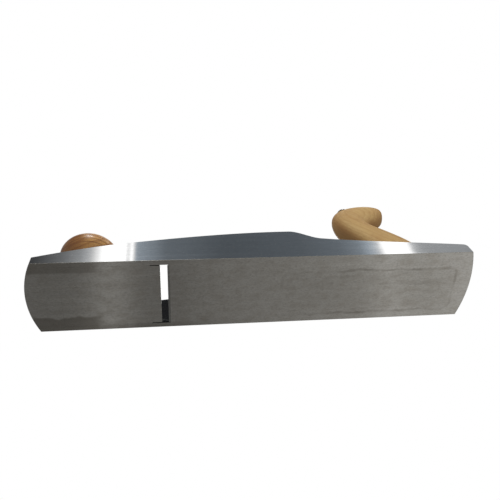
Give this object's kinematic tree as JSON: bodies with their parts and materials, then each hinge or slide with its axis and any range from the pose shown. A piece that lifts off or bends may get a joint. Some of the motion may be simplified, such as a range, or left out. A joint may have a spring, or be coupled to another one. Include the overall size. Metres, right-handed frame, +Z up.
{
  "type": "low angle bench plane",
  "caption": "Long low angle hand plane with flat sole, curved cheeks, bevel up iron, sliding toe plate for the mouth, turned wooden front knob and shaped wooden rear handle.",
  "frame": {"origin": "on the sole plane, midway between toe and heel and between the cheeks", "axes": "+X towards the toe, +Y to the left cheek, +Z up from the sole"},
  "size_m": [0.355, 0.063, 0.1315],
  "materials": {
    "ground_iron": "ground and lengthwise brushed outside, dark enamel inside",
    "cap_iron": "smooth satin",
    "tool_steel": "ground",
    "bright_steel": "turned",
    "brass": "turned and knurled",
    "beech": "oiled, satin"
  },
  "bodies": {
    "plane_body": {"body": "ground_iron", "tote": "beech", "tote_peg": "bright_steel", "tote_rod": "bright_steel", "tote_nut": "brass", "lever_cap_screw": "bright_steel", "depth_stud": "bright_steel", "depth_lock_nut": "bright_steel", "mouth_lever_pivot": "bright_steel"},
    "toe_plate": {"toe_plate": "ground_iron", "knob_stud": "bright_steel", "clamp_washer": "bright_steel"},
    "front_knob": {"front_knob": "beech", "knob_bush": "brass"},
    "mouth_lever": {"mouth_lever": "bright_steel"},
    "iron": {"iron": "tool_steel"},
    "depth_wheel": {"depth_wheel": "brass"},
    "lever_cap": {"lever_cap": "cap_iron"},
    "cap_wheel": {"cap_wheel": "brass", "cap_wheel_screw": "bright_steel"}
  },
  "joints": [
    {"name": "mouth_slide", "type": "slide", "parent": "plane_body", "child": "toe_plate", "axis": [1, 0, 0], "range_m": [-0.0039, 0]},
    {"name": "mouth_lever_swing", "type": "hinge", "parent": "plane_body", "child": "mouth_lever", "pos_m": [0.1207, 0, 0.0117], "axis": [0, 0, 1], "range_deg": [-35, 0]},
    {"name": "knob_turn", "type": "hinge", "parent": "toe_plate", "child": "front_knob", "pos_m": [0.1367, 0, 0.0187], "axis": [0, 0, 1], "range_deg": [0, 360]},
    {"name": "iron_feed", "type": "slide", "parent": "plane_body", "child": "iron", "axis": [0.9781, 0, -0.2079], "range_m": [-0.006, 0.001]},
    {"name": "depth_wheel_turn", "type": "hinge", "parent": "iron", "child": "depth_wheel", "pos_m": [-0.07347, 0, 0.02176], "axis": [0.9781, 0, -0.2079], "range_deg": [-2160, 360]},
    {"name": "cap_slide", "type": "slide", "parent": "plane_body", "child": "lever_cap", "axis": [-0.9781, 0, 0.2079], "range_m": [0, 0.012]},
    {"name": "cap_wheel_turn", "type": "hinge", "parent": "lever_cap", "child": "cap_wheel", "pos_m": [-0.02189, 0, 0.02633], "axis": [0.2079, 0, 0.9781], "range_deg": [0, 720]}
  ],
  "couplings": [
    {"joint": "mouth_lever_swing", "follows": "mouth_slide", "rad_per_m": 156.6},
    {"joint": "depth_wheel_turn", "follows": "iron_feed", "rad_per_m": 6283.2}
  ]
}
